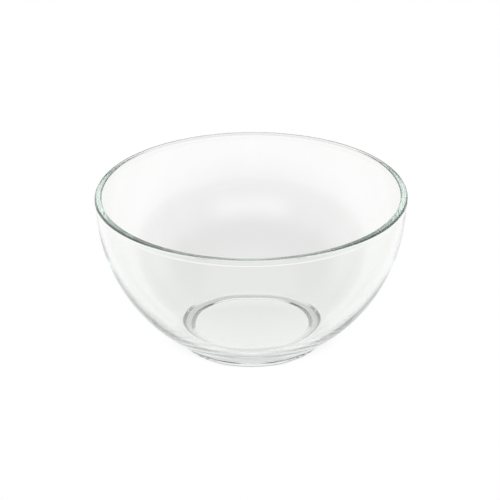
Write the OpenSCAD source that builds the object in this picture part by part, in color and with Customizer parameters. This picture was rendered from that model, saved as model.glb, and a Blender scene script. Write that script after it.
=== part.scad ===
// Footed round glass bowl, pressed in one piece.
// The six modules are regions of that one piece of glass. They meet face to face.
// Z runs up from the table, and the origin is the centre of the foot's resting face.

/* [Bowl] */
// Outside diameter across the rim
bowl_d = 230; // [228:1:232]
// Height from the table to the top of the rim
bowl_h = 116.5; // [115.5:0.5:117.5]
// Thickness of the side wall just under the rim
wall_t = 4.6; // [4.2:0.1:5]
// How far the inside arc's radius falls short of a parallel one, which thickens the wall downwards
wall_gain = 3.6; // [3:0.2:4]

/* [Rim] */
// How far the bead stands proud of the wall below it
bead_proud = 0.8; // [0.5:0.1:1]
// Radius of the bead's swell
bead_r = 4; // [3.5:0.25:5]
// Height of the lip above the bead's widest place
lip_h = 2.7; // [2.4:0.1:3]
// Rounding of the lip's inner and outer edges
lip_edge_r = 1.5; // [1:0.1:2]

/* [Base] */
// Height of the flat floor inside the bowl above the table
floor_z = 8.5; // [8:0.25:8.75]
// Radius of the curve between the floor and the wall, inside the bowl
heel_r = 22; // [21:0.5:23]
// Depth of the recess under the base
recess_h = 2; // [1.5:0.1:2.5]

/* [Foot] */
// Diameter of the foot ring where it meets the wall
foot_d = 110; // [109.5:0.5:111.5]
// Height of the foot ring's outer side
foot_h = 4; // [3.6:0.1:4.2]
// How far the foot ring's outer side leans in towards the table
foot_taper = 2; // [1.5:0.1:2]
// Width of the flat ring that rests on the table
rest_w = 5; // [4:0.25:5]

/* [Hidden] */
$fn = 180;

glass_tint = [0.86, 0.94, 0.90, 0.55];

// Rim: a flat lip with rounded edges, on a bead that dies into the wall
rim_outer_r = bowl_d / 2;
wall_outer_r = rim_outer_r - bead_proud;
wall_inner_r = wall_outer_r - wall_t;
lip_w = rim_outer_r - wall_inner_r;
bead_z = bowl_h - lip_h;
bead_drop = sqrt(pow(bead_r, 2) - pow(bead_r - bead_proud, 2));

// Wall: an arc that is upright under the rim and comes down on the foot's upper edge
foot_r = foot_d / 2;
arc_z = bead_z - bead_drop;
arc_run = wall_outer_r - foot_r;
arc_drop = arc_z - foot_h;
arc_r = (pow(arc_run, 2) + pow(arc_drop, 2)) / (2 * arc_run);
arc_x = wall_outer_r - arc_r;
inner_arc_r = arc_r - wall_t - wall_gain;
inner_arc_x = wall_inner_r - inner_arc_r;

// Heel: an arc that touches both the wall's inside and the flat floor
heel_z = floor_z + heel_r;
heel_reach = inner_arc_r - heel_r;
base_r = inner_arc_x + sqrt(pow(heel_reach, 2) - pow(arc_z - heel_z, 2));
heel_angle = asin((arc_z - heel_z) / heel_reach);
split_angle = heel_angle / 2;

// Foot: a ring whose sides lean towards each other on the way down
rest_outer_r = foot_r - foot_taper;
rest_inner_r = rest_outer_r - rest_w;

// A length that reaches past every section
beyond = 2 * arc_r;

// Slice of the wall's section, between two angles below the horizontal
module wall_slice(from, to) {
    translate([inner_arc_x, arc_z]) intersection() {
        difference() {
            translate([arc_x - inner_arc_x, 0]) circle(arc_r);
            circle(inner_arc_r);
        }
        polygon([
            [0, 0],
            [beyond * cos(from), -beyond * sin(from)],
            [beyond * cos(to), -beyond * sin(to)]
        ]);
    }
}

module rim_section() {
    translate([wall_inner_r, bead_z]) {
        // Upright sides of the lip
        square([lip_w, lip_h - lip_edge_r]);
        // Flat top between the rounded edges
        translate([lip_edge_r, 0]) square([lip_w - 2 * lip_edge_r, lip_h]);
        for (edge = [lip_edge_r, lip_w - lip_edge_r])
            translate([edge, lip_h - lip_edge_r]) circle(lip_edge_r);
    }
    // Bead that swells out of the wall, and runs up into the lip
    intersection() {
        translate([rim_outer_r - bead_r, bead_z]) circle(bead_r);
        translate([wall_inner_r, arc_z]) square([lip_w, bead_drop + lip_edge_r / 4]);
    }
}

module heel_section() {
    difference() {
        intersection() {
            // Inside the wall's outer arc
            translate([arc_x, arc_z]) circle(arc_r);
            // Above the foot and outside the flat base
            translate([base_r, foot_h]) square([beyond, arc_z]);
            // Below the line where the side wall ends
            translate([inner_arc_x, arc_z]) polygon([
                [0, 0],
                [beyond * cos(heel_angle), -beyond * sin(heel_angle)],
                [0, -beyond]
            ]);
        }
        translate([base_r, heel_z]) circle(heel_r);
    }
}

module foot_section() {
    polygon([
        [base_r, foot_h],
        [base_r, recess_h],
        [rest_inner_r, 0],
        [rest_outer_r, 0],
        [foot_r, foot_h]
    ]);
}

module rim() {
    color(glass_tint) rotate_extrude() rim_section();
}

module upper_wall() {
    color(glass_tint) rotate_extrude() wall_slice(0, split_angle);
}

module lower_wall() {
    color(glass_tint) rotate_extrude() wall_slice(split_angle, heel_angle);
}

module heel() {
    color(glass_tint) rotate_extrude() heel_section();
}

module base() {
    color(glass_tint) translate([0, 0, recess_h]) cylinder(r = base_r, h = floor_z - recess_h);
}

module foot() {
    color(glass_tint) rotate_extrude() foot_section();
}

rim();
upper_wall();
lower_wall();
heel();
base();
foot();
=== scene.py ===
import math

import bmesh
import bpy
from mathutils import Matrix, Vector


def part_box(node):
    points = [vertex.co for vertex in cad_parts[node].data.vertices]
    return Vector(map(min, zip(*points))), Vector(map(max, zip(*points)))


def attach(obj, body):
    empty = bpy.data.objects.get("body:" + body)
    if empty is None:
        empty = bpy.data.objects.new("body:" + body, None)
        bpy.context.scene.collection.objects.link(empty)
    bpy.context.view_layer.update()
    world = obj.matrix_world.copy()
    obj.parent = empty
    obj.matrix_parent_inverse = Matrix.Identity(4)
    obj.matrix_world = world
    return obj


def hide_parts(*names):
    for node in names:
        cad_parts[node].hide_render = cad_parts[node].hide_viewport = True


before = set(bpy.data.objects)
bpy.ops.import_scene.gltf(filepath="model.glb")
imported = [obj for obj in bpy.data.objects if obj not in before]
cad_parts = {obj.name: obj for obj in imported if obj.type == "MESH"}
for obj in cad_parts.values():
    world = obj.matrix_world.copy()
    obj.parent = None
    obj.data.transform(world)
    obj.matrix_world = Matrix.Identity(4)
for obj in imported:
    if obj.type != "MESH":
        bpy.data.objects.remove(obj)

# Footed round glass bowl: one lathe-turned skin of clear glass on a lit white table.
# Lengths are in metres. MM turns the millimetres of the CAD dimensions into metres.
MM = 0.001
UP = (0, 0, 1)
BLACK = (0, 0, 0, 1)
WHITE = (1, 1, 1, 1)

# Dimensions of the glass that no node's box gives
WALL_T = 4.6 * MM
WALL_GAIN = 3.6 * MM
BEAD_R = 4.0 * MM
LIP_H = 2.7 * MM
LIP_EDGE_R = 1.5 * MM
HEEL_R = 22.0 * MM
FOOT_TAPER = 2.0 * MM
REST_W = 5.0 * MM
# Small rounds and hollows where two surfaces meet
BEAD_FILLET_R = 3.0 * MM
FOOT_FILLET_R = 1.5 * MM
FOOT_EDGE_R = 0.8 * MM
RECESS_FILLET_R = 1.5 * MM

# Fineness of the skin
SEGMENTS_AROUND = 256
ARC_STEP = 2.4 * MM
SMALL_ARC_POINTS = 9
SAME_POINT = 0.02 * MM

# Pressed glass is never quite true. The skin lies inside its true shape by up to WAVER_DEPTH,
# in waves that each have a count around the bowl, a length along the section and a phase.
WAVER_DEPTH = 0.06 * MM
WAVERS = (
    (5, 71 * MM, 0.3),
    (9, 46 * MM, 1.7),
    (14, 33 * MM, 4.1),
)

# Glass: what passes through each face, and what is lost per metre of depth
GLASS_COLOUR = (0.974, 0.979, 0.970, 1)
GLASS_IOR = 1.52
DEPTH_COLOUR = (0.30, 0.50, 0.42, 1)
DEPTH_DENSITY = 2.0

# Surface of the glass: faint smears left by wiping, the mould's fine orange peel, and the
# worn face that stands on the table. Noise up to the first value of SMEAR_NOISE leaves the
# glass clean, and from the second value on it is fully smeared.
SMEAR_SIZE = 28 * MM
SMEAR_DETAIL = 3
SMEAR_NOISE = (0.48, 0.72)
SMEAR_ROUGHNESS = 0.035
PEEL_SIZE = 9 * MM
PEEL_DETAIL = 1
PEEL_DEPTH = 0.004 * MM
WORN_HEIGHT = 0.25 * MM
WORN_GRAIN = 0.6 * MM
WORN_DETAIL = 2
WORN_ROUGHNESS = 0.45

# Camera: a long lens two metres away, at the photo's viewing angle
CAMERA_DISTANCE = 2.0
CAMERA_ELEVATION = 25.59
CAMERA_ROLL = -0.4
CAMERA_LENS = 194.1
CAMERA_SENSOR = 36.0
CAMERA_AIM = Vector((-1.1, 0.0, 70.0)) * MM

# Light trapped in the wall is reflected many times before it gets out at the rim or the foot
LIGHT_BOUNCES = 64

# Table top, a hair below the foot so that the two faces do not coincide
TABLE_RADIUS = 8.0
TABLE_SIDES = 96
TABLE_GAP = 0.05 * MM
# The bowl's faint shadows, painted shade that dims the table's glow: name, centre, reach along
# each axis, where along the reach the shadow starts, is fully there, begins to fade and has gone,
# and depth. Where the first two are below zero, as in SOLID, the shadow is full in the middle.
SOLID = (-2, -1)
PAINTED_SHADOWS = (
    ("under_base", (0, -4 * MM), (68 * MM, 50 * MM), (*SOLID, 0.7, 1), 0.10),
    ("behind_bowl", (0, 150 * MM), (120 * MM, 210 * MM), (*SOLID, 0.4, 1), 0.12),
    ("under_front", (0, -46 * MM), (30 * MM, 8 * MM), (*SOLID, 0.5, 1), 0.30),
    ("under_foot", (0, 0), (54 * MM, 54 * MM), (0.87, 0.90, 0.97, 1), 0.12),
)

# Surroundings. Each softbox has a name, an azimuth from straight behind the bowl, positive to
# the right, its half width and the blur of its sides, its low and high edges and their blur,
# all in degrees, and a strength. The three named angles leave out the sides, the low edge and the
# high edge.
ROOM_LIGHT = 0.02
ALL_ROUND = 360
NO_LOW_EDGE = -180
NO_HIGH_EDGE = 180
SOFTBOXES = (
    ("horizon", 0, ALL_ROUND, 1, NO_LOW_EDGE, 4.5, 2.5, 0.3),
    ("haze", 0, ALL_ROUND, 1, NO_LOW_EDGE, 10, 10, 0.7),
    ("sides", 180, 125, 12, 14, 30, 6, 0.50),
    ("panel", 176, 64, 2, 4, 36, 4, 0.16),
    ("window", 180, 32, 14, 17, 31, 9, 0.95),
    ("back_fill", 0, 11, 5, 12, 62, 8, 1.00),
    ("overhead", 0, ALL_ROUND, 1, 55, NO_HIGH_EDGE, 8, 0.38),
)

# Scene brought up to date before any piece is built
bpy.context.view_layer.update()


def least_radius(node):
    """Radius of a round node, measured where its faceted mesh is narrowest."""
    low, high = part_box(node)
    return min(high[0], high[1], -low[0], -low[1])


class Circle:
    """A circle in the bowl's section, where x is the radius and y is the height."""

    def __init__(self, centre, radius):
        self.centre = Vector(centre)
        self.radius = radius

    def point(self, angle):
        """Point at an angle in radians from the horizontal."""
        return self.centre + self.radius * Vector((math.cos(angle), math.sin(angle)))

    def angle_to(self, point):
        """Angle in radians at which a point lies as seen from the centre."""
        way = Vector(point) - self.centre
        return math.atan2(way.y, way.x)

    def arc(self, start, end, count=None):
        """Points along the arc from one angle to another, both ends included."""
        if count is None:
            count = max(2, round(abs(end - start) * self.radius / ARC_STEP) + 1)
        return [self.point(start + (end - start) * i / (count - 1)) for i in range(count)]


def meet_outside(a, b):
    """The right-hand one of the two points where two circles cross."""
    between = b.centre - a.centre
    gap = between.length
    along = (gap ** 2 + a.radius ** 2 - b.radius ** 2) / (2 * gap)
    across = math.sqrt(a.radius ** 2 - along ** 2)
    middle = a.centre + between * (along / gap)
    side = Vector((between.y, -between.x)) * (across / gap)
    return max(middle + side, middle - side, key=lambda p: p.x)


def down_to_circle(start, way, circle):
    """First point where a ray from start along a unit vector comes to a circle."""
    offset = start - circle.centre
    along = offset.dot(way)
    short = along ** 2 - offset.length_squared + circle.radius ** 2
    return start + way * (-along - math.sqrt(short))


def rounded(before, corner, after, radius):
    """Arc that replaces a corner between two straight stretches."""
    to_before = (before - corner).normalized()
    to_after = (after - corner).normalized()
    half = to_before.angle(to_after) / 2
    centre = corner + (to_before + to_after).normalized() * (radius / math.sin(half))
    circle = Circle(centre, radius)
    start = circle.angle_to(corner + to_before * (radius / math.tan(half)))
    end = circle.angle_to(corner + to_after * (radius / math.tan(half)))
    turn = (end - start + math.pi) % math.tau - math.pi
    return circle.arc(start, start + turn, SMALL_ARC_POINTS)


def straight(start, end):
    """Points along a straight stretch, no further apart than along the arcs."""
    count = max(1, round((end - start).length / ARC_STEP))
    return [start.lerp(end, i / count) for i in range(count + 1)]


def without_repeats(points):
    """The same outline without points that lie on the one before."""
    kept = points[:1]
    for point in points[1:]:
        if (point - kept[-1]).length > SAME_POINT:
            kept.append(point)
    return kept


def foot_outline(outer):
    """Underside of the glass from the axis to the wall, and where on the wall's arc it ends."""
    foot_r = least_radius("foot")
    foot_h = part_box("foot")[1][2]
    middle = Vector((0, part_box("base")[0][2]))
    ceiling = Vector((least_radius("base"), middle.y))
    rest_outer = Vector((foot_r - FOOT_TAPER, 0))
    rest_inner = Vector((rest_outer.x - REST_W, 0))
    shoulder = Vector((foot_r, foot_h))

    # Hollow between the foot's leaning side and the wall
    up = (shoulder - rest_outer).normalized()
    out = Vector((up.y, -up.x))
    reach = Circle(outer.centre, outer.radius + FOOT_FILLET_R)
    hollow = Circle(down_to_circle(rest_outer + out * FOOT_FILLET_R, up, reach), FOOT_FILLET_R)
    side_end = hollow.centre - out * FOOT_FILLET_R

    points = rounded(middle, ceiling, rest_inner, RECESS_FILLET_R)
    points = straight(middle, points[0]) + points
    points += rounded(ceiling, rest_inner, rest_outer, FOOT_EDGE_R)
    edge = rounded(rest_inner, rest_outer, shoulder, FOOT_EDGE_R)
    points += straight(points[-1], edge[0]) + edge
    points += straight(edge[-1], side_end)
    start = hollow.angle_to(side_end) % math.tau
    points += hollow.arc(start, hollow.angle_to(outer.centre) % math.tau, SMALL_ARC_POINTS)
    return points, outer.angle_to(hollow.centre)


def glass_section():
    """Outline of the glass from the axis under the base, round the rim, to the axis on the floor."""
    rim_low, rim_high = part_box("rim")
    rim_r = least_radius("rim")
    wall_r = least_radius("upper_wall")
    foot_r = least_radius("foot")
    foot_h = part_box("foot")[1][2]
    floor_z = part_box("base")[1][2]
    arc_z, top_z = rim_low[2], rim_high[2]
    inner_r = wall_r - WALL_T

    # The wall's two arcs are upright at the same height, where the rim begins
    run, drop = wall_r - foot_r, arc_z - foot_h
    arc_r = (run ** 2 + drop ** 2) / (2 * run)
    outer = Circle((wall_r - arc_r, arc_z), arc_r)
    inner = Circle((outer.centre.x + WALL_GAIN, arc_z), arc_r - WALL_T - WALL_GAIN)

    # Rim: a flat lip with rounded edges, on a bead that swells out of the wall
    edge_z = top_z - LIP_EDGE_R
    lip_outer = Circle((rim_r - LIP_EDGE_R, edge_z), LIP_EDGE_R)
    lip_inner = Circle((inner_r + LIP_EDGE_R, edge_z), LIP_EDGE_R)
    bead = Circle((rim_r - BEAD_R, top_z - LIP_H), BEAD_R)

    # Hollow under the bead
    reach_wall = Circle(outer.centre, arc_r + BEAD_FILLET_R)
    reach_bead = Circle(bead.centre, BEAD_R + BEAD_FILLET_R)
    under_bead = Circle(meet_outside(reach_wall, reach_bead), BEAD_FILLET_R)

    # Heel: tangent to the inside of the wall and to the floor
    heel_z = floor_z + HEEL_R
    reach = inner.radius - HEEL_R
    heel_x = inner.centre.x + math.sqrt(reach ** 2 - (arc_z - heel_z) ** 2)
    heel = Circle((heel_x, heel_z), HEEL_R)

    quarter = math.pi / 2
    points, wall_start = foot_outline(outer)
    points += outer.arc(wall_start, outer.angle_to(under_bead.centre))
    from_wall = under_bead.angle_to(outer.centre) % math.tau
    points += under_bead.arc(from_wall, under_bead.angle_to(bead.centre), SMALL_ARC_POINTS)
    points += bead.arc(bead.angle_to(under_bead.centre), 0, SMALL_ARC_POINTS)
    points += lip_outer.arc(0, quarter, SMALL_ARC_POINTS)
    points += straight(lip_outer.point(quarter), lip_inner.point(quarter))
    points += lip_inner.arc(quarter, math.pi, SMALL_ARC_POINTS)
    points += straight(lip_inner.point(math.pi), Vector((inner_r, arc_z)))
    points += inner.arc(0, inner.angle_to(heel.centre))
    points += heel.arc(inner.angle_to(heel.centre), -quarter)
    points += straight(heel.point(-quarter), Vector((0, floor_z)))
    return without_repeats(points)


def waver(turn, along):
    """How far inwards the skin lies at a turn round the axis and a length along the section."""
    waves = [math.sin(count * turn + math.tau * along / length + phase)
             for count, length, phase in WAVERS]
    return WAVER_DEPTH * (1 - sum(waves) / len(waves)) / 2


def turn_on_lathe(name, section):
    """Closed skin swept round the Z axis by a section whose first and last points lie on it."""
    mesh = bmesh.new()
    first = mesh.verts.new((0, 0, section[0].y))
    last = mesh.verts.new((0, 0, section[-1].y))
    rings = []
    along = 0
    for before, point in zip(section, section[1:-1]):
        along += (point - before).length
        ring = []
        for i in range(SEGMENTS_AROUND):
            turn = math.tau * i / SEGMENTS_AROUND
            radius = point.x - waver(turn, along)
            place = (radius * math.cos(turn), radius * math.sin(turn), point.y)
            ring.append(mesh.verts.new(place))
        rings.append(ring)
    for i in range(SEGMENTS_AROUND):
        j = (i + 1) % SEGMENTS_AROUND
        mesh.faces.new((first, rings[0][j], rings[0][i]))
        for lower, upper in zip(rings, rings[1:]):
            mesh.faces.new((lower[i], lower[j], upper[j], upper[i]))
        mesh.faces.new((last, rings[-1][i], rings[-1][j]))
    bmesh.ops.recalc_face_normals(mesh, faces=mesh.faces)
    for face in mesh.faces:
        face.smooth = True
    data = bpy.data.meshes.new(name)
    mesh.to_mesh(data)
    mesh.free()
    piece = bpy.data.objects.new(name, data)
    bpy.context.collection.objects.link(piece)
    return piece


class Graph:
    """Short ways to add and link the nodes of one node tree."""

    def __init__(self, tree):
        self.nodes, self.links = tree.nodes, tree.links

    def add(self, kind, **settings):
        """New node with the given settings."""
        node = self.nodes.new(kind)
        for key, value in settings.items():
            setattr(node, key, value)
        return node

    def feed(self, socket, value):
        """Link another node's output to a socket, or set the socket's own value."""
        if isinstance(value, bpy.types.NodeSocket):
            self.links.new(value, socket)
        else:
            socket.default_value = value

    def calc(self, operation, *values):
        """Result of one step of arithmetic on numbers or other nodes' outputs."""
        node = self.add("ShaderNodeMath", operation=operation)
        for socket, value in zip(node.inputs, values):
            self.feed(socket, value)
        return node.outputs["Value"]

    def dot(self, vector, along):
        """How far a vector goes along a direction."""
        node = self.add("ShaderNodeVectorMath", operation="DOT_PRODUCT")
        self.feed(node.inputs[0], vector)
        self.feed(node.inputs[1], along)
        return node.outputs["Value"]

    def length(self, vector):
        """Length of a vector."""
        node = self.add("ShaderNodeVectorMath", operation="LENGTH")
        self.feed(node.inputs[0], vector)
        return node.outputs["Value"]

    def noise(self, spot, size, detail):
        """Cloudy pattern between 0 and 1 whose blotches are about the given size."""
        node = self.add("ShaderNodeTexNoise")
        self.feed(node.inputs["Vector"], spot)
        node.inputs["Scale"].default_value = 1 / size
        node.inputs["Detail"].default_value = detail
        return node.outputs["Fac"]

    def fade(self, value, start, end):
        """0 on the start's side, 1 on the end's side, and a soft ramp between the two."""
        node = self.add("ShaderNodeMapRange", interpolation_type="SMOOTHSTEP")
        self.feed(node.inputs["Value"], value)
        node.inputs["From Min"].default_value = start
        node.inputs["From Max"].default_value = end
        return node.outputs["Result"]


def glass_material():
    """Fire-polished soda-lime glass, clear through the wall and green through its edges."""
    material = bpy.data.materials.new("clear_glass")
    material.use_nodes = True
    graph = Graph(material.node_tree)
    shader = graph.nodes["Principled BSDF"]
    shader.inputs["Base Color"].default_value = GLASS_COLOUR
    shader.inputs["Transmission Weight"].default_value = 1
    shader.inputs["IOR"].default_value = GLASS_IOR

    spot = graph.add("ShaderNodeTexCoord").outputs["Object"]
    smears = graph.fade(graph.noise(spot, SMEAR_SIZE, SMEAR_DETAIL), *SMEAR_NOISE)
    worn = graph.fade(graph.dot(spot, UP), 2 * WORN_HEIGHT, WORN_HEIGHT)
    grain = graph.calc("MULTIPLY", worn, graph.noise(spot, WORN_GRAIN, WORN_DETAIL))
    rough = graph.calc("MULTIPLY", smears, SMEAR_ROUGHNESS)
    # The grain is one half on average, so twice the roughness is asked for
    rough = graph.calc("MULTIPLY_ADD", grain, 2 * WORN_ROUGHNESS, rough)
    graph.feed(shader.inputs["Roughness"], rough)
    bump = graph.add("ShaderNodeBump")
    bump.inputs["Distance"].default_value = PEEL_DEPTH
    graph.feed(bump.inputs["Height"], graph.noise(spot, PEEL_SIZE, PEEL_DETAIL))
    graph.feed(shader.inputs["Normal"], bump.outputs["Normal"])

    depth = graph.add("ShaderNodeVolumeAbsorption")
    depth.inputs["Color"].default_value = DEPTH_COLOUR
    depth.inputs["Density"].default_value = DEPTH_DENSITY
    graph.feed(graph.nodes["Material Output"].inputs["Volume"], depth.outputs["Volume"])
    return material


def build_bowl():
    """The one piece of glass, which takes the place of all six CAD nodes."""
    bowl = turn_on_lathe("glass_bowl", glass_section())
    bowl.data.materials.append(glass_material())
    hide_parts("rim", "upper_wall", "lower_wall", "heel", "base", "foot")
    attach(bowl, "root")
    return bowl


def build_table():
    """A wide white table top, lit from within as a glass photographer's light table is, with the
    bowl's shadows painted into its glow.
    """
    bpy.ops.mesh.primitive_circle_add(
        vertices=TABLE_SIDES, radius=TABLE_RADIUS, fill_type="NGON", location=(0, 0, -TABLE_GAP))
    table = bpy.context.object
    table.name = "table_top"
    material = bpy.data.materials.new("lit_table")
    material.use_nodes = True
    graph = Graph(material.node_tree)
    shader = graph.nodes["Principled BSDF"]
    # The surface itself reflects nothing, so only its own light shows, even except for the painted
    # shadows
    shader.inputs["Base Color"].default_value = BLACK
    shader.inputs["Roughness"].default_value = 1
    shader.inputs["Specular IOR Level"].default_value = 0
    shader.inputs["Emission Color"].default_value = WHITE

    spot = graph.add("ShaderNodeTexCoord").outputs["Object"]
    # Painted shade: each shadow patch lowers the glow here, standing in for the bowl's cast and
    # contact shadows
    glow = 1.0
    for name, centre, reach, (start, full, fading, gone), depth in PAINTED_SHADOWS:
        place = graph.add("ShaderNodeMapping", vector_type="TEXTURE", label=name)
        place.inputs["Location"].default_value = (*centre, 0)
        place.inputs["Scale"].default_value = (*reach, 1)
        graph.feed(place.inputs["Vector"], spot)
        away = graph.length(place.outputs["Vector"])
        shade = graph.calc("MULTIPLY", graph.fade(away, start, full), graph.fade(away, gone, fading))
        glow = graph.calc("MULTIPLY", glow, graph.calc("MULTIPLY_ADD", shade, -depth, 1.0))
    graph.feed(shader.inputs["Emission Strength"], glow)
    table.data.materials.append(material)
    return table


def softbox(graph, direction, name, azimuth, half_width, side_blur, low, high, blur, strength):
    """Light from a patch of the surroundings with blurred edges."""
    turn = math.radians(azimuth)
    ahead = graph.dot(direction, (math.sin(turn), math.cos(turn), 0))
    aside = graph.dot(direction, (math.cos(turn), -math.sin(turn), 0))
    off = graph.calc("ABSOLUTE", graph.calc("ARCTAN2", aside, ahead))
    height = graph.calc("ARCSINE", graph.dot(direction, UP))
    near = math.radians(half_width - side_blur)
    far = math.radians(half_width + side_blur)
    across = graph.fade(off, far, near)
    above = graph.fade(height, math.radians(low - blur), math.radians(low + blur))
    below = graph.fade(height, math.radians(high + blur), math.radians(high - blur))
    patch = graph.calc("MULTIPLY", across, graph.calc("MULTIPLY", above, below))
    glow = graph.calc("MULTIPLY", patch, strength)
    glow.node.label = name
    return glow


def build_world():
    """Dim studio with a white horizon and softboxes."""
    world = bpy.data.worlds.new("studio")
    bpy.context.scene.world = world
    world.use_nodes = True
    graph = Graph(world.node_tree)
    direction = graph.add("ShaderNodeTexCoord").outputs["Generated"]
    light = ROOM_LIGHT
    for box in SOFTBOXES:
        light = graph.calc("ADD", light, softbox(graph, direction, *box))
    graph.feed(graph.nodes["Background"].inputs["Color"], WHITE)
    graph.feed(graph.nodes["Background"].inputs["Strength"], light)


def set_light_paths():
    """Plain display of the light, and enough bounces for the glass."""
    scene = bpy.context.scene
    scene.view_settings.view_transform = "Standard"
    scene.cycles.max_bounces = LIGHT_BOUNCES
    scene.cycles.transmission_bounces = LIGHT_BOUNCES
    scene.cycles.glossy_bounces = LIGHT_BOUNCES


def build_camera():
    """Camera that looks down on the bowl from the front, turned by a slight roll."""
    data = bpy.data.cameras.new("camera")
    data.lens = CAMERA_LENS
    data.sensor_width = CAMERA_SENSOR
    camera = bpy.data.objects.new("camera", data)
    bpy.context.collection.objects.link(camera)
    tilt = math.radians(CAMERA_ELEVATION)
    back = Vector((0, -math.cos(tilt), math.sin(tilt)))
    camera.location = CAMERA_AIM + back * CAMERA_DISTANCE
    level = back.to_track_quat("Z", "Y").to_matrix().to_4x4()
    roll = Matrix.Rotation(math.radians(CAMERA_ROLL), 4, "Z")
    camera.rotation_euler = (level @ roll).to_euler()
    bpy.context.scene.camera = camera


set_light_paths()
build_camera()
build_bowl()
build_table()
build_world()
